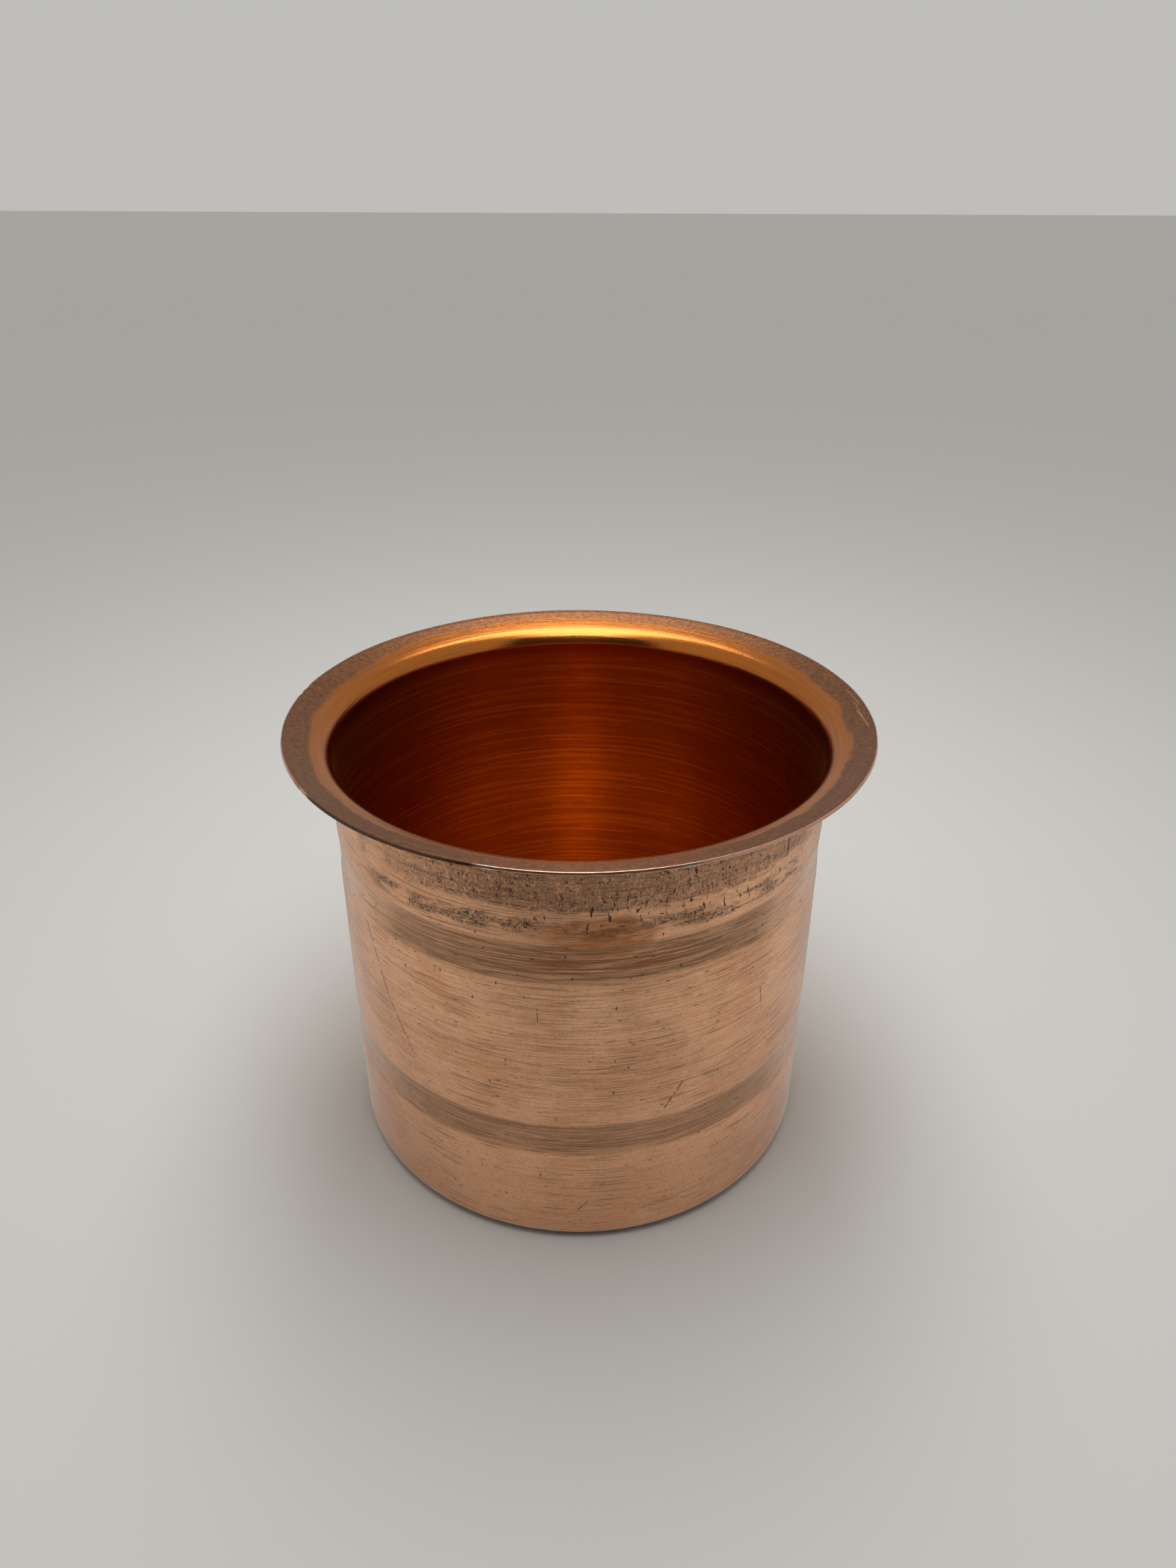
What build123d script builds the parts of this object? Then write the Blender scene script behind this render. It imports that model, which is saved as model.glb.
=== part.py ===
from build123d import *
import os
from math import cos, radians, tan

# A straight-sided copper cup, spun from one disc of sheet: a flat base that is dished up in the
# middle, a rounded corner, an upright wall with two shallow rolled bands, and a flared rim that is
# left as a plain sheared edge. Its origin is the middle of the base on the surface it stands on,
# and +Z runs up its axis. All sizes are in millimetres and degrees.

# The whole cup
height = 61.2
rim_radius = 38.0
sheet = 0.4

# The base: a flat resting ring around a shallow dish
dish_radius = 25.0
dish_rise = 0.5
ring_radius = 27.5
dish_bend = 6.0
corner_bend = 2.25

# The wall, which steps in a little near its foot
wall_radius = 32.35
foot_set_in = 0.15
foot_step_low = 9.5
foot_step_high = 11.2
step_bend = 4.0

# The rolled bands, each given by the heights of its lower and upper edges
bands = [(15.4, 20.3), (42.6, 47.6)]
band_depth = 0.15
band_edge = 0.5
band_bend = 3.0

# The flared rim, whose flange rises outwards
flange_slope = 18.0
neck_bend = 2.1

# The underside of the flange, traced back from its sheared edge to the line of the wall
edge_height = height - sheet * cos(radians(flange_slope))
neck_height = edge_height - (rim_radius - wall_radius) * tan(radians(flange_slope))

# The outer face of the sheet, from the axis out under the base and up the wall
outer_face = [
    (0, dish_rise),
    (dish_radius, dish_rise),
    (ring_radius, 0),
    (wall_radius - foot_set_in, 0),
    (wall_radius - foot_set_in, foot_step_low),
    (wall_radius, foot_step_high),
]
bends = [dish_bend, dish_bend, corner_bend, step_bend, step_bend]
for band_low, band_high in bands:
    outer_face += [
        (wall_radius, band_low - band_edge),
        (wall_radius - band_depth, band_low + band_edge),
        (wall_radius - band_depth, band_high - band_edge),
        (wall_radius, band_high + band_edge),
    ]
    bends += [band_bend] * 4
outer_face += [(wall_radius, neck_height), (rim_radius, edge_height)]
bends += [neck_bend]

with BuildPart() as copper_cup:
    with BuildSketch(Plane.XZ):
        with BuildLine():
            FilletPolyline(*outer_face, radius=bends)
            offset(amount=sheet, side=Side.LEFT)
        make_face()
    revolve(axis=Axis.Z)

copper_cup.part.label = "copper_cup"

os.makedirs("parts", exist_ok=True)
export_step(copper_cup.part, "parts/copper_cup.step")

size = copper_cup.part.bounding_box().size
print(f"cup {size.X:.2f} x {size.Y:.2f} x {size.Z:.2f} mm, copper {copper_cup.part.volume:.0f} mm3")
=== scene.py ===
import math
import bmesh
import bpy
from mathutils import Matrix, Vector, noise


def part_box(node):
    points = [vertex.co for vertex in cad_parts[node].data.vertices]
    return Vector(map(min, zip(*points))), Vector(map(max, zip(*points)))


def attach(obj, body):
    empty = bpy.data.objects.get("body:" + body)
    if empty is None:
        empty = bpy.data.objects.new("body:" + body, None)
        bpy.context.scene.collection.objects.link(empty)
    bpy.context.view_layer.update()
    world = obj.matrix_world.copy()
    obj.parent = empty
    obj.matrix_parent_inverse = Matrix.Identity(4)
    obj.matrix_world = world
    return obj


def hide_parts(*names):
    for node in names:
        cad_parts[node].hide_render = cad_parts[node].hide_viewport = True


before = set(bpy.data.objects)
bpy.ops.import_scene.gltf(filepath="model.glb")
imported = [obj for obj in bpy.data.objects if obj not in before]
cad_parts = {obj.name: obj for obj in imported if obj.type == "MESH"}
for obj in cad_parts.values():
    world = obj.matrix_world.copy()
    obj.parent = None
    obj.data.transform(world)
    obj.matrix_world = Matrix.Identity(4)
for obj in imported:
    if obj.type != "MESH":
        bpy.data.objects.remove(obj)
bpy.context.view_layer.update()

# The cup. One disc of copper sheet is spun over a round chuck: the middle stays as the base, the
# sides are pressed up into an upright wall with two burnished bands, and the top is rolled out into
# a flange whose edge is left as it was sheared.

MM = 0.001
RIM_RADIUS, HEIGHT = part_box("copper_cup")[1].x / MM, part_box("copper_cup")[1].z / MM
SHEET = 0.4
WALL_RADIUS = 32.35
FOOT_RADIUS = 32.2
FLANGE_RISE = math.tan(math.radians(18))
SECTORS = 360
ROW_PITCH = 0.9

# The outer face of the sheet from the axis outwards: radius, height, and the radius of the bend there.
EDGE_HEIGHT = HEIGHT - SHEET * math.cos(math.atan(FLANGE_RISE))
NECK_HEIGHT = EDGE_HEIGHT - (RIM_RADIUS - WALL_RADIUS) * FLANGE_RISE
outline = [
    (0, 0.5, 0),
    (25, 0.5, 6),
    (27.5, 0, 6),
    (FOOT_RADIUS, 0, 2.25),
    (FOOT_RADIUS, 9.5, 4),
    (WALL_RADIUS, 11.2, 4),
    (WALL_RADIUS, NECK_HEIGHT, 2.1),
    (RIM_RADIUS, EDGE_HEIGHT, 0),
]


def spun_sheet():
    """The outer face of the sheet: its outline with rounded bends, spun round the axis."""
    bm = bmesh.new()
    corners = [bm.verts.new((radius * MM, 0, height * MM)) for radius, height, bend in outline]
    for near, far in zip(corners, corners[1:]):
        bm.edges.new((near, far))
    places = [corner.co.copy() for corner in corners]
    for i in range(1, len(corners) - 1):
        turn = (places[i] - places[i - 1]).angle(places[i + 1] - places[i])
        reach = outline[i][2] * MM * math.tan(turn / 2)
        steps = max(2, round(turn * 6))
        bmesh.ops.bevel(
            bm, geom=[corners[i]], offset=reach, offset_type="OFFSET", affect="VERTICES",
            segments=steps, profile=0.5, material=-1,
        )
    for edge in list(bm.edges):
        cuts = int(edge.calc_length() / (ROW_PITCH * MM))
        if cuts:
            bmesh.ops.subdivide_edges(bm, edges=[edge], cuts=cuts)
    bmesh.ops.spin(
        bm, geom=bm.verts[:] + bm.edges[:], axis=(0, 0, 1), angle=math.tau,
        steps=SECTORS, use_merge=True,
    )
    bmesh.ops.remove_doubles(bm, verts=bm.verts, dist=0.001 * MM)
    bmesh.ops.recalc_face_normals(bm, faces=bm.faces)
    return bm


# How far the real sheet is from its true form, in millimetres: out of round towards the top, rippled
# up the wall, and waved and drooping over the flange.
OUT_OF_ROUND, RIPPLE = 0.12, 0.02
RIM_WAVE, RIM_DROOP = 0.06, 0.12
FLANGE_START, FLANGE_WIDTH = 34, 4


def swell(place):
    """A smooth wave over places, from 0 to 1."""
    return 0.5 + 0.5 * noise.noise(place)


def hand_made(place):
    """Where a point of the true form lies on the real sheet, which is a little out of round."""
    radius = math.hypot(place.x, place.y)
    if radius < 1 * MM:
        return place
    around = Vector((place.x / radius, place.y / radius, 0))
    up = place.z / MM
    wave = swell(around * 1.1 + Vector((0, 0, up / 40 + 3.7)))
    ripple = swell(around * 2.5 + Vector((5.1, 0, up / 3.0)))
    inward = OUT_OF_ROUND * wave * up / HEIGHT + RIPPLE * ripple
    flare = min(1, max(0, (radius / MM - FLANGE_START) / FLANGE_WIDTH))
    inward += flare * RIM_WAVE * swell(around * 6 + Vector((0, 9.3, 0)))
    droop = flare * RIM_DROOP * swell(around * 1.7 + Vector((2.2, 0, 8.1)))
    inward_share = 1 - inward * MM / radius
    return Vector((place.x * inward_share, place.y * inward_share, place.z - droop * MM))


# A small buckle across the flange where the sheet was pinched: two creases that run in from the rim
# and meet. Each is a start and an end, as an angle in degrees and a radius.
CREASES = [((168.3, 37.9), (169.6, 34.0)), ((171.2, 37.9), (170.6, 33.6))]
CREASE_DEPTH, CREASE_WIDTH, CREASE_END = 0.16, 0.42, 1.2


def creased(place):
    """Where a point of the flange lies once the sheet is pinched."""
    radius = math.hypot(place.x, place.y) / MM
    if radius < FLANGE_START - 1:
        return place
    sunk = 0
    for (start, outer), (end, inner) in CREASES:
        share = min(1, max(0, (outer - radius) / (outer - inner)))
        line = math.radians(start + (end - start) * share)
        away = abs(math.remainder(math.atan2(place.y, place.x) - line, math.tau)) * radius
        depth = min(1, max(0, (radius - inner) / CREASE_END))
        sunk += CREASE_DEPTH * depth * math.exp(-((away / CREASE_WIDTH) ** 2))
    return place - Vector((0, 0, sunk * MM))


# The burnished bands, each as the heights of its lower and upper edge.
BANDS = [(15.4, 20.3), (42.6, 47.6)]
BAND_DEPTH = 0.15
BAND_EDGE = 0.5


def burnished(place):
    """Where a point of the outer face lies once the bands are pressed into the wall."""
    radius = math.hypot(place.x, place.y)
    up = place.z / MM
    if radius < FOOT_RADIUS * MM * 0.98:
        return place
    pressed = 0
    for low, high in BANDS:
        depth = min(1, max(0, min(up - low, high - up) / BAND_EDGE / 2 + 0.5))
        pressed += depth * depth * (3 - 2 * depth)
    share = 1 - pressed * BAND_DEPTH * MM / radius
    return Vector((place.x * share, place.y * share, place.z))


EDGE_RAGGED, EDGE_BURRS = 0.05, 0.03


def sheared(place):
    """Where a point of the cut edge lies: the shears leave it slightly ragged and burred."""
    around = Vector((place.x, place.y, 0)).normalized()
    ragged = EDGE_RAGGED * swell(around * 45) + EDGE_BURRS * swell(around * 130)
    return place - around * ragged * MM


# The skins of the sheet, by the number of their material; the outer face has number 0.
INSIDE, EDGE = 1, 2
EDGE_ROUND = 0.07
bm = spun_sheet()
for vert in bm.verts:
    vert.co = creased(hand_made(vert.co))
if sum(face.normal.z for face in bm.faces if face.calc_center_median().z < 0.6 * MM) > 0:
    bmesh.ops.reverse_faces(bm, faces=bm.faces)
outer_faces = set(bm.faces)
outer_verts = set(bm.verts)
bmesh.ops.solidify(bm, geom=bm.faces[:], thickness=SHEET * MM)
edge_faces = []
for face in bm.faces:
    face.smooth = True
    if face not in outer_faces:
        face.material_index = INSIDE
        if any(vert in outer_verts for vert in face.verts):
            edge_faces.append(face)
            face.material_index = EDGE
for vert in outer_verts:
    vert.co = burnished(vert.co)
corners = {edge for face in edge_faces for edge in face.edges if not all(
    other in edge_faces for other in edge.link_faces)}
for vert in {vert for edge in corners for vert in edge.verts}:
    vert.co = sheared(vert.co)
bmesh.ops.bevel(
    bm, geom=list(corners), offset=EDGE_ROUND * MM, offset_type="OFFSET", affect="EDGES",
    segments=2, profile=0.5, material=EDGE, clamp_overlap=True,
)
for face in bm.faces:
    face.smooth = True
cup_mesh = bpy.data.meshes.new("copper_cup_sheet")
bm.to_mesh(cup_mesh)
bm.free()
cup = bpy.data.objects.new("copper_cup_sheet", cup_mesh)
bpy.context.scene.collection.objects.link(cup)


class Amount:
    """A number, place or colour that varies over a surface: arithmetic on it adds Math nodes."""

    def __init__(self, tree, socket):
        self.tree = tree
        self.socket = socket

    def math(self, operation, *others):
        values = dict(enumerate((self, *others)))
        return add(self.tree, "ShaderNodeMath", {"operation": operation}, values)

    def __add__(self, other):
        return self.math("ADD", other)

    def __sub__(self, other):
        return self.math("SUBTRACT", other)

    def __mul__(self, other):
        return self.math("MULTIPLY", other)

    def __truediv__(self, other):
        return self.math("DIVIDE", other)

    def __pow__(self, other):
        return self.math("POWER", other)

    def __rsub__(self, other):
        return self * -1 + other

    __radd__ = __add__
    __rmul__ = __mul__

    def step(self, low, high):
        """0 at low and 1 at high, with a smooth rise between; high may be under low."""
        if high < low:
            return 1 - self.step(high, low)
        settings = {"interpolation_type": "SMOOTHSTEP", "clamp": True}
        return add(self.tree, "ShaderNodeMapRange", settings, {0: self, 1: low, 2: high, 3: 0, 4: 1})

    def within(self, low, high, soft):
        """1 from low to high and 0 outside, over soft edges."""
        return self.step(low - soft, low + soft) * self.step(high + soft, high - soft)


def add(tree, kind, settings, values, output=0):
    """Adds a node, sets it, gives its sockets their values or links, and returns an output."""
    node = tree.nodes.new(kind)
    for name, setting in settings.items():
        setattr(node, name, setting)
    for key, value in values.items():
        if isinstance(value, Amount):
            tree.links.new(value.socket, node.inputs[key])
        else:
            node.inputs[key].default_value = value
    return Amount(tree, node.outputs[output])


def tint(amount, under, over):
    """The colour under, turned to the colour over by amount."""
    return add(amount.tree, "ShaderNodeMix", {"data_type": "RGBA"}, {0: amount, 6: under, 7: over}, 2)


def grain(vector, size, detail=2, roughness=0.5, distortion=0):
    """A noise about 0.5 whose lumps are of a size."""
    values = {
        "Vector": vector, "Scale": 1 / size, "Detail": detail,
        "Roughness": roughness, "Distortion": distortion,
    }
    return add(vector.tree, "ShaderNodeTexNoise", {}, values, "Fac")


def pits(vector, size, cell=1):
    """Small scattered pits of a size, few and far between, on coordinates with one cell to a unit."""
    values = {"Vector": vector, "Scale": 1 / cell, "Randomness": 1}
    return add(vector.tree, "ShaderNodeTexVoronoi", {}, values, "Distance").step(size, size / 2)


class Skin:
    """Places on a turned sheet, in millimetres: in space, up it, out from the axis, and round it."""

    def __init__(self, tree):
        self.tree = tree
        coordinates = add(tree, "ShaderNodeTexCoord", {}, {}, "Object")
        self.place = add(
            tree, "ShaderNodeVectorMath", {"operation": "SCALE"}, {0: coordinates, 3: 1 / MM})
        self.x, self.y, self.z = [
            add(tree, "ShaderNodeSeparateXYZ", {}, {0: self.place}, axis) for axis in "XYZ"]
        self.radius = (self.x * self.x + self.y * self.y) ** 0.5
        self.arc = self.x.math("ARCTAN2", self.y * -1) * WALL_RADIUS
        self.rise = self.z + self.radius

    def marks(self, along, across):
        """Coordinates for marks of a length round the axis and of a height up the sheet."""
        share = WALL_RADIUS / along
        return add(self.tree, "ShaderNodeCombineXYZ", {}, {
            0: self.x / self.radius * share, 1: self.y / self.radius * share, 2: self.rise / across,
        })

    def scratch(self, up, start, end, width):
        """A straight scratch between two places, each as a distance round from the front and one up."""
        run = (end[0] - start[0], end[1] - start[1])
        length = math.hypot(*run)
        run = (run[0] / length, run[1] / length)
        over, above = self.arc - start[0], up - start[1]
        along = over * run[0] + above * run[1]
        aside = (over * run[1] - above * run[0]).math("ABSOLUTE")
        return along.within(0, length, width) * aside.step(width, width * 0.4)

    def scratches(self, up, runs):
        """Straight scratches, each given as its start, its end and its width."""
        scratched = 0
        for start, end, width in runs:
            scratched = scratched + self.scratch(up, start, end, width)
        return scratched


def metal(name, base_color, rough, anisotropic):
    """A material for lathe-turned copper, whose fine lines spread the light across them."""
    material = bpy.data.materials.new(name)
    material.use_nodes = True
    tree = material.node_tree
    shader = tree.nodes["Principled BSDF"]
    shader.inputs["Metallic"].default_value = 1
    shader.inputs["Base Color"].default_value = base_color
    shader.inputs["Roughness"].default_value = rough
    shader.inputs["Anisotropic"].default_value = anisotropic
    shader.inputs["Anisotropic Rotation"].default_value = 0.25
    return material, tree, shader


def finish(tree, shader, color, rough, height, metallic=None):
    """Feeds the shader; height is in millimetres."""
    bump = add(tree, "ShaderNodeBump", {}, {"Strength": 1, "Distance": MM, "Height": height}, "Normal")
    tree.links.new(color.socket, shader.inputs["Base Color"])
    tree.links.new(rough.socket, shader.inputs["Roughness"])
    tree.links.new(bump.socket, shader.inputs["Normal"])
    if metallic:
        tree.links.new(metallic.socket, shader.inputs["Metallic"])


# The outer face as it came off the lathe: satin copper with fine lines round it, handling pits and
# scratches, two burnished bands, and old oxide that stays in the rough skin under the rim.
CLEAN = (0.99, 0.555, 0.325, 1)
WARM = (0.91, 0.48, 0.265, 1)
LINE = (0.34, 0.18, 0.11, 1)
BAND = (0.27, 0.142, 0.074, 1)
RUST = (0.30, 0.105, 0.045, 1)
OXIDE = (0.50, 0.30, 0.19, 1)
STAIN = (0.47, 0.165, 0.045, 1)
SOOT = (0.045, 0.022, 0.014, 1)

# Where the marks lie, in millimetres: heights, and distances round from the front.
BAND_DARKNESS = (0.82, 1)
ROUGH_FROM, ROUGH_ROUND = 52.4, (-22, 33)
ROUGH_TOP = 62
CRAZE_UP, CRAZE_ROUND = (48.9, 51.0), (-27, 29)
CRAZE_GAP = (-4.6, 6.6)
STAIN_AT, STAIN_REACH = (1.5, 48.6), (7, 3.3)
CRACKS_UP, CRACKS_ROUND = (50, 56.5), (-8, 30)
RED_UP, RED_ROUND = (43.6, 46.8), (-4.5, 12)
LOWER_LEFT_ROUND = (-48, -19)
WALL_SCRATCHES = [
    ((-30.6, 41.7), (-27.0, 32.6), 0.13),
    ((-27.0, 32.6), (-22.8, 25.6), 0.11),
    ((-4.95, 38.6), (-4.85, 36.6), 0.06),
    ((12.9, 25.3), (10.6, 21.8), 0.12),
    ((-0.5, 5.3), (1.4, 7.5), 0.09),
    ((0.8, 49.4), (0.9, 51.0), 0.13),
    ((5.1, 52.6), (5.4, 54.6), 0.13),
    ((24.5, 35.0), (25.3, 31.0), 0.08),
]

outside, tree, shader = metal("copper_brushed_outside", CLEAN, 0.42, 0.6)
shader.inputs["Sheen Weight"].default_value = 0.9
shader.inputs["Sheen Roughness"].default_value = 0.3
skin = Skin(tree)
on_wall = skin.z.step(1.5, 4)
wander = grain(skin.marks(9, 9), 1, 3) - 0.5
level = skin.z + wander * 1.6
hairs = grain(skin.marks(6, 0.11), 1, 1, 0.5)
lines = grain(skin.marks(16, 0.2), 1, 2, 0.6)
cloud = grain(skin.place, 9, 3, 0.55)
speckle = grain(skin.place, 0.3, 2, 0.6)
worms = grain(skin.marks(0.5, 0.55), 1, 2, 0.6, 0.9)
smudge = grain(skin.marks(5.5, 1.6), 1, 3, 0.6, 0.4)

bands = 0
for (low, high), darkness in zip(BANDS, BAND_DARKNESS):
    bands = bands + (skin.z + wander * 0.5).within(low, high, 0.35) * darkness
band_streaks = grain(skin.marks(9, 0.2), 1, 3, 0.7)
# Painted reflection: this mask darkens the bands over the front of the cup, where they mirror the dark
# side in front of it.
front_painted_reflection = (skin.arc + wander * 20).math("ABSOLUTE").step(33, 20)
back = skin.arc.math("ABSOLUTE").step(42, 62)
back_worn = grain(skin.marks(26, 9), 1, 2).step(0.42, 0.62) * back * 0.8
ragged = grain(skin.marks(2.2, 0.7), 1, 3, 0.65) - 0.5
torn_level = level + ragged * 3.2
rough_front = torn_level.within(ROUGH_FROM, ROUGH_TOP, 0.5)
rough_front = rough_front * (skin.arc + wander * 14).within(*ROUGH_ROUND, 7)
rough_patches = torn_level.within(ROUGH_FROM + 0.4, ROUGH_TOP, 0.8) * cloud.step(0.46, 0.66) * 0.8
rough_skin = rough_front.math("MAXIMUM", rough_patches)
craze_ring = level.within(*CRAZE_UP, 0.35) * smudge.step(0.40, 0.54)
craze_ring = craze_ring * (skin.arc + wander * 9).within(*CRAZE_ROUND, 2)
craze_ring = craze_ring * (1 - (skin.arc + wander * 4).within(*CRAZE_GAP, 1.2) * 0.6)
stain_round, stain_up = (skin.arc - STAIN_AT[0]) / STAIN_REACH[0], (skin.z - STAIN_AT[1]) / STAIN_REACH[1]
stain = (stain_round ** 2 + stain_up ** 2 + wander * 2.4 + (smudge - 0.5) * 1.6).step(1.2, 0.5)

long_marks = grain(skin.marks(8, 0.14), 1, 1, 0.5).step(0.60, 0.67) * cloud.step(0.36, 0.5)
dashes = pits(skin.marks(3.4, 0.9), 0.10) * on_wall
ticks = pits(skin.marks(1.6, 4.4), 0.075) * on_wall
flaws = grain(skin.place, 0.45, 2, 0.6, 0.8).step(0.685, 0.73) * on_wall * cloud.step(0.44, 0.6)
flecks = grain(skin.marks(1.1, 0.18), 1, 2, 0.6).step(0.57, 0.66)
# The lowest edge of the foot ring, where the cup stands on the floor, is made near black.
dark_foot_edge = skin.z.step(0.9, 0.25) * skin.radius.step(28, 30.5)
crackle = (worms - 0.5).math("ABSOLUTE").step(0.045, 0.015) * 0.8
craze = (crackle + worms.step(0.57, 0.64)) * craze_ring
rough_pits = grain(skin.marks(0.34, 0.8), 1, 2, 0.6, 1.0).step(0.59, 0.65) * rough_skin
rough_rings = grain(skin.marks(7, 0.4), 1, 3, 0.6).step(0.50, 0.62) * rough_skin
rough_glints = grain(skin.marks(0.5, 0.7), 1, 2, 0.6, 0.8).step(0.56, 0.66) * rough_skin
cracks = grain(skin.marks(0.55, 2.1), 1, 2, 0.6, 0.5).step(0.64, 0.68) * level.within(*CRACKS_UP, 0.6)
cracks = cracks * (skin.arc + wander * 10).within(*CRACKS_ROUND, 3)
scratches = skin.scratches(skin.z, WALL_SCRATCHES)
dashed = grain(skin.place, 0.45, 1).step(0.42, 0.5)
marks = (dashes + ticks + flaws + scratches * dashed + cracks + craze).math("MINIMUM", 1)

color = tint(cloud.step(0.40, 0.62), CLEAN, WARM)
# Painted shade: the wall is turned warmer and darker towards the bottom, where it mirrors the floor
# shaded by the cup.
color = tint(skin.z.step(40, 8) * 0.3, color, WARM)
lined = 0.45 + skin.z.within(23, 42, 3) * 0.55
color = tint((hairs.step(0.44, 0.66) * 0.34 + lines.step(0.52, 0.68) * 0.26) * lined, color, LINE)
color = tint(speckle.step(0.54, 0.68) * 0.26, color, LINE)
color = tint(flecks * 0.38, color, LINE)
color = tint(long_marks * 0.75, color, LINE)
# The lower left of the wall is made a little darker.
lower_left_darkening = (skin.arc + wander * 9).within(*LOWER_LEFT_ROUND, 10) * skin.z.step(34, 16)
color = tint(lower_left_darkening * 0.16, color, LINE)
color = tint(stain * (0.55 + smudge.step(0.4, 0.6) * 0.35), color, STAIN)
stain_dashes = grain(skin.marks(1.6, 0.22), 1, 2, 0.6).step(0.56, 0.64) * stain
color = tint(stain_dashes * 0.6, color, RUST)
# The band colour is partly the bands' own darker burnish, faint all round and in patches at the back, and
# partly a painted reflection, strongest at the front.
band_wear_and_front_reflection = 0.22 + (front_painted_reflection + back_worn) * 0.78
color = tint(bands * (0.50 + band_streaks.step(0.42, 0.58) * 0.50) * band_wear_and_front_reflection, color, BAND)
reddened = skin.z.within(*RED_UP, 0.4) * (skin.arc + wander * 8).within(*RED_ROUND, 2)
color = tint(reddened * band_streaks.step(0.45, 0.58) * 0.8, color, RUST)
color = tint(rough_skin * (0.34 + worms.step(0.38, 0.60) * 0.42), color, OXIDE)
color = tint(craze_ring * 0.35, color, BAND)
color = tint(rough_rings * 0.45, color, BAND)
color = tint(rough_glints * 0.8, color, CLEAN)
color = tint(rough_pits * 0.65, color, SOOT)
color = tint((marks * 0.86).math("MAXIMUM", dark_foot_edge), color, SOOT)
rough = 0.40 + (cloud - 0.5) * 0.08 + (hairs - 0.5) * 0.18 - bands * 0.14
rough = rough + rough_skin * 0.16 + marks * 0.3 + rough_pits * 0.2
height = (hairs - 0.5) * 0.012 + (lines - 0.5) * 0.02 + (speckle - 0.5) * 0.004
height = height + rough_skin * (worms - 0.5) * 0.2 + craze_ring * (worms - 0.5) * 0.10
height = height - (marks + rough_pits) * 0.03 - long_marks * 0.012
dirt = (marks + rough_pits * 0.7).math("MINIMUM", 1)
finish(tree, shader, color, rough, height, metallic=1 - dirt * 0.8)
cup_mesh.materials.append(outside)

# The inner face: polished round and round down the wall and over the bend, so that it is streaked, with
# dull brown oxide on the flat of the flange, where it has been handled and nicked.
# The inner face's copper is painted darker and deeper orange than the outer face's: on the wall a painted
# shade of the cup's inside, over the bend a painted reflection of it.
POLISHED_AND_SHADED = (0.56, 0.225, 0.02, 1)
BEND = (0.54, 0.174, 0.036, 1)
STREAK = (0.90, 0.46, 0.12, 1)
BROWNED = (0.30, 0.115, 0.04, 1)
DULL = (0.175, 0.074, 0.034, 1)
DULL_PALE = (0.265, 0.115, 0.052, 1)

# Heights where the bend and the flat of the flange start, the radius where the oxide starts, and the
# marks on the flange, as distances round from the front and radii.
BEND_UP, FLAT_UP, OXIDE_OUT = (55.2, 57.5), (60.0, 60.3), (34.35, 34.95)
FLANGE_NICKS = [
    ((47.1, 37.0), (46.9, 37.9), 0.09),
    ((39.0, 36.7), (38.5, 37.2), 0.09),
    ((43.2, 35.4), (42.5, 37.6), 0.05),
    ((-62.3, 37.1), (-61.9, 37.4), 0.10),
    ((-49.9, 37.2), (-50.2, 37.6), 0.09),
    ((-57.3, 37.6), (-57.8, 35.0), 0.07),
]
FLANGE_RUBS = [
    ((57.2, 37.05), (53.4, 37.1), 0.07),
    ((52.1, 36.4), (47.7, 36.95), 0.09),
    ((54.0, 36.7), (50.2, 36.6), 0.06),
]

inside, tree, shader = metal("copper_inside", POLISHED_AND_SHADED, 0.22, 0.6)
skin = Skin(tree)
around = grain(skin.marks(7, 7), 1, 3, 0.6) - 0.5
cloud = grain(skin.place, 4, 3, 0.6)
mottle = grain(skin.place, 0.5, 3, 0.65)
hairs = grain(skin.marks(14, 0.22), 1, 3, 0.6)
lines = grain(skin.marks(22, 0.5), 1, 3, 0.65)
crumbs = grain(skin.place, 0.16, 1, 0.6)
out = skin.radius + around * 2.2 + (cloud - 0.5) * 0.5 + (mottle - 0.5) * 0.3
out = out - (skin.y / skin.radius).step(0.2, 0.95) * 0.9
oxide = out.step(*OXIDE_OUT)
bend = skin.z.step(*BEND_UP)
flat = skin.z.step(*FLAT_UP)
nicks = skin.scratches(skin.radius, FLANGE_NICKS)
rubs = skin.scratches(skin.radius, FLANGE_RUBS)
wisps = grain(skin.marks(9, 0.28), 1, 2, 0.6).step(0.58, 0.68)
flecks = pits(skin.place, 0.13, 1.6) * flat

color = tint(bend, POLISHED_AND_SHADED, BEND)
color = tint((1 - bend) * (lines.step(0.48, 0.62) * 0.5 + wisps * 0.45), color, STREAK)
color = tint(bend * (hairs.step(0.50, 0.62) * 0.3 + lines.step(0.50, 0.62) * 0.25), color, BROWNED)
color = tint(oxide * 0.94, color, tint(mottle.step(0.4, 0.62), DULL, DULL_PALE))
color = tint((nicks + flecks * 0.7).math("MINIMUM", 1) * 0.85, color, SOOT)
color = tint(rubs * 0.45, color, CLEAN)
rough = 0.23 + (hairs - 0.5) * 0.16 + bend * ((crumbs - 0.5) * 0.2 - 0.06) - wisps * 0.04
rough = rough + oxide * (0.20 + (mottle - 0.5) * 0.2)
height = (hairs - 0.5) * 0.010 + (lines - 0.5) * 0.03 + bend * (crumbs - 0.5) * 0.012
height = height + oxide * (mottle - 0.5) * 0.02 - nicks * 0.05 + rubs * 0.02
height = height - wisps * (1 - bend) * 0.004
finish(tree, shader, color, rough, height)
cup_mesh.materials.append(inside)

# The cut edge of the sheet: pink where it was sheared, dark brown along a stretch at the left and
# faintly in patches round it, and two painted highlights, pale glints at fixed places round it.
SHEARED = (0.72, 0.42, 0.30, 1)
EDGE_DARK = (0.12, 0.06, 0.04, 1)
BRIGHT = (0.98, 0.80, 0.66, 1)
DARK_STRETCH_ROUND, GLINTS_ROUND = (-31, -9.2), [(-8.7, -7.2, 0.3), (9.4, 10.6, 0.4)]

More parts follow.
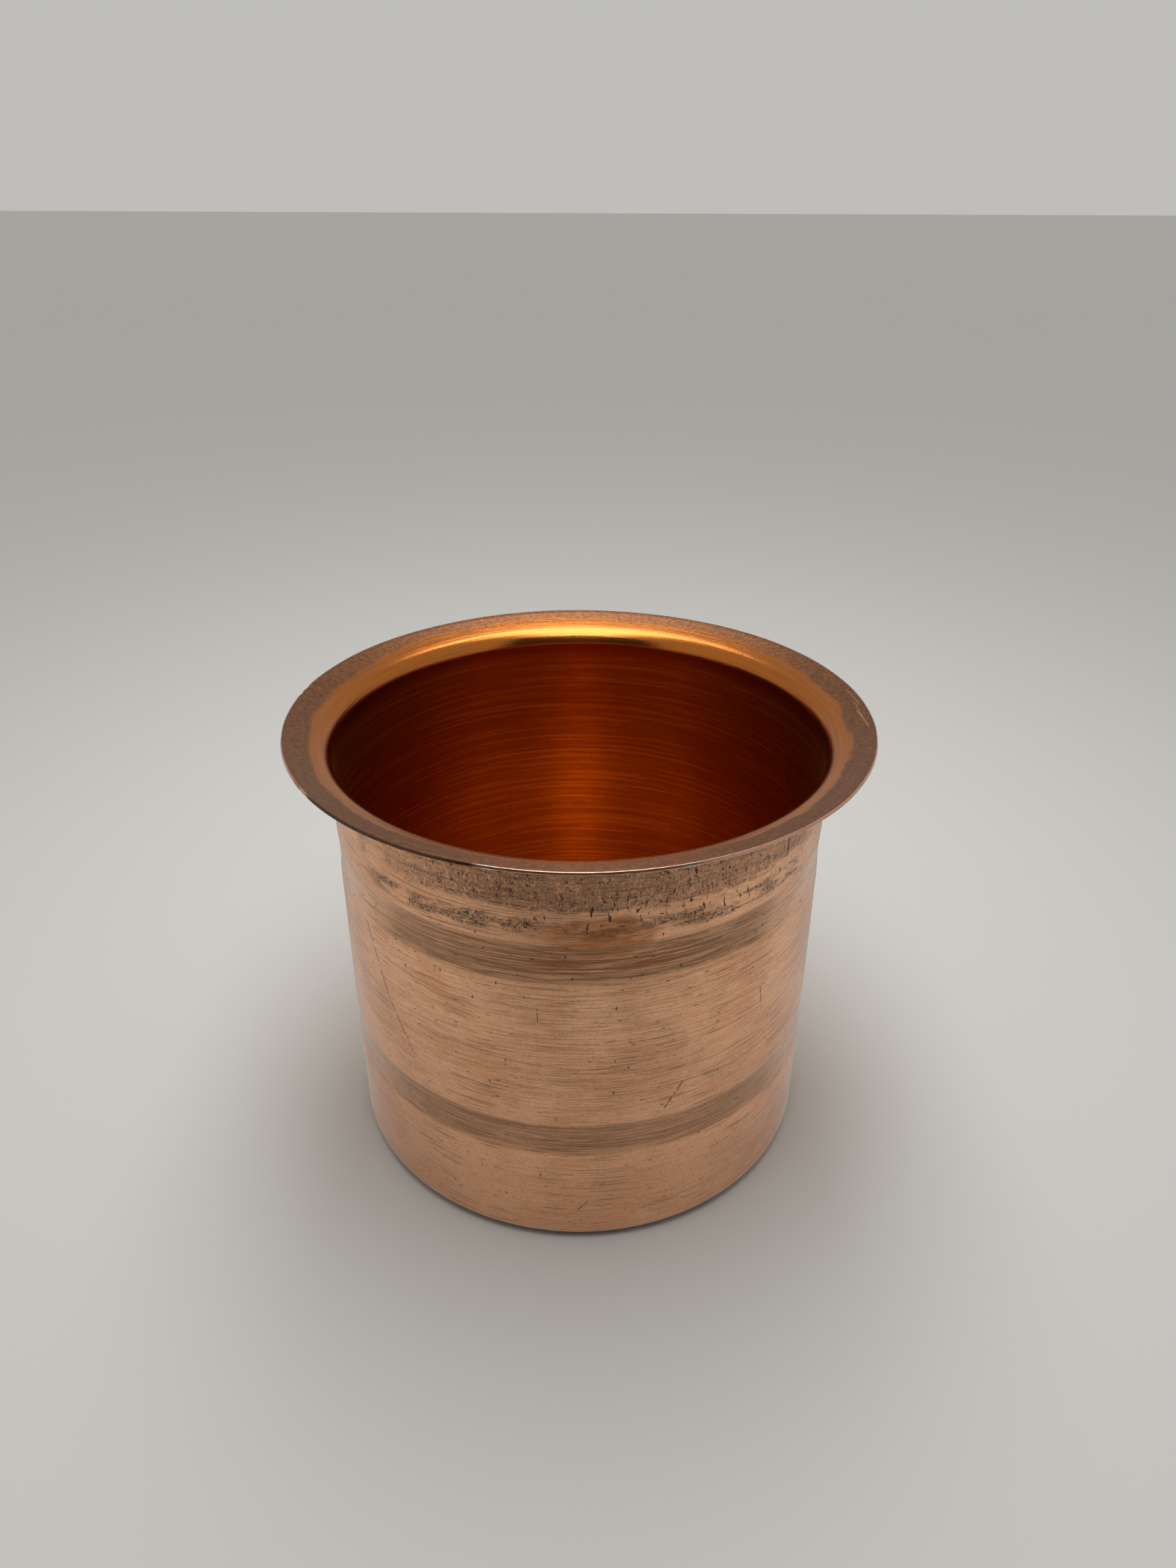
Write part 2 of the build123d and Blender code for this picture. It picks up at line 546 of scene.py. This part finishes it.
sheared_copper, tree, shader = metal("copper_sheared_edge", CLEAN, 0.3, 0)
skin = Skin(tree)
worn = grain(skin.marks(5, 5), 1, 3, 0.6) - 0.5
burr = grain(skin.marks(0.7, 0.12), 1, 2, 0.6)
edge_darkening = (skin.arc + worn * 3).within(*DARK_STRETCH_ROUND, 0.8)
edge_darkening = edge_darkening.math("MAXIMUM", worn.step(0.08, 0.16) * 0.5)
# Painted highlights: the two glints are painted as pale colour at fixed places round the edge.
glints = 0
for start, end, soft in GLINTS_ROUND:
    glints = glints + skin.arc.within(start, end, soft)
color = tint(edge_darkening, SHEARED, EDGE_DARK)
color = tint(burr.step(0.56, 0.66) * 0.3, color, LINE)
color = tint(glints, color, BRIGHT)
finish(tree, shader, color, 0.30 + (burr - 0.5) * 0.2 - glints * 0.1, (burr - 0.5) * 0.02)
cup_mesh.materials.append(sheared_copper)

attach(cup, "root")
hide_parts("copper_cup")

# The table it stands on: a plain pale floor, matt, and wide enough to run out of sight behind the cup.
# It lies at the height of the ring that the cup stands on.
FLOOR_REACH = 3
FLOOR_COLOR = (0.70, 0.695, 0.67, 1)

floor_bm = bmesh.new()
bmesh.ops.create_grid(floor_bm, x_segments=1, y_segments=1, size=FLOOR_REACH)
floor_mesh = bpy.data.meshes.new("floor")
floor_bm.to_mesh(floor_mesh)
floor_bm.free()
floor = bpy.data.objects.new("floor", floor_mesh)
bpy.context.scene.collection.objects.link(floor)
floor_material = bpy.data.materials.new("floor_white")
floor_material.use_nodes = True
floor_shader = floor_material.node_tree.nodes["Principled BSDF"]
floor_shader.inputs["Base Color"].default_value = FLOOR_COLOR
floor_shader.inputs["Roughness"].default_value = 0.9
floor_mesh.materials.append(floor_material)

# Studio light: pale surroundings, one soft panel overhead that the inside and the bend mirror, and a
# dark card in front, which keeps the wall from mirroring a bright room. Sizes in metres.
SURROUNDINGS, SURROUNDINGS_STRENGTH = (1.0, 0.985, 0.95, 1), 0.52
LAMP_PLACE = (0, 0.01, 0.24)
LAMP_SIZE, LAMP_RADIANCE = (0.09, 0.25), 4.7
CARD_PLACE, CARD_REACH = (0, -0.16, 0.15), 0.14

world = bpy.data.worlds.new("studio")
bpy.context.scene.world = world
world.use_nodes = True
world.node_tree.nodes["Background"].inputs["Color"].default_value = SURROUNDINGS
world.node_tree.nodes["Background"].inputs["Strength"].default_value = SURROUNDINGS_STRENGTH

lamp = bpy.data.lights.new("lamp", "AREA")
lamp.shape = "RECTANGLE"
lamp.size, lamp.size_y = LAMP_SIZE
lamp.energy = LAMP_RADIANCE * math.pi * LAMP_SIZE[0] * LAMP_SIZE[1]
panel = bpy.data.objects.new("lamp", lamp)
panel.location = LAMP_PLACE
panel.visible_camera = False
bpy.context.scene.collection.objects.link(panel)

card_bm = bmesh.new()
bmesh.ops.create_grid(card_bm, x_segments=1, y_segments=1, size=CARD_REACH)
card_mesh = bpy.data.meshes.new("dark_card")
card_bm.to_mesh(card_mesh)
card_bm.free()
card_mesh.transform(Matrix.Translation(CARD_PLACE) @ Matrix.Rotation(math.radians(90), 4, "X"))
card = bpy.data.objects.new("dark_card", card_mesh)
bpy.context.scene.collection.objects.link(card)
card_material = bpy.data.materials.new("card_black")
card_material.use_nodes = True
card_shader = card_material.node_tree.nodes["Principled BSDF"]
card_shader.inputs["Base Color"].default_value = (0.03, 0.03, 0.03, 1)
card_mesh.materials.append(card_material)
card.visible_camera = False

# The camera, in front of the cup and above it, looking down into its mouth. Its place is in radii of
# the rim, and its turns are in degrees.
CAMERA_AWAY, CAMERA_UP = 3.5087, 3.2702
TILT, SWING, LEAN = 28.985, 0.48, 0.258

camera_data = bpy.data.cameras.new("camera")
camera_data.lens = 26.04
camera_data.sensor_width = 36
camera_data.clip_start = 0.005
camera = bpy.data.objects.new("camera", camera_data)
bpy.context.scene.collection.objects.link(camera)
tilt, swing, lean = math.radians(TILT), math.radians(SWING), math.radians(LEAN)
ahead = Vector((math.sin(swing) * math.cos(tilt), math.cos(swing) * math.cos(tilt), -math.sin(tilt)))
across = Vector((math.cos(swing), -math.sin(swing), 0))
upward = across.cross(ahead)
right = math.cos(lean) * across + math.sin(lean) * upward
top = math.cos(lean) * upward - math.sin(lean) * across
camera.matrix_world = (
    Matrix.Translation((0, -CAMERA_AWAY * RIM_RADIUS * MM, CAMERA_UP * RIM_RADIUS * MM))
    @ Matrix((right, top, -ahead)).transposed().to_4x4()
)
bpy.context.scene.camera = camera
bpy.context.scene.view_settings.view_transform = "Standard"
bpy.context.scene.cycles.glossy_bounces = 12
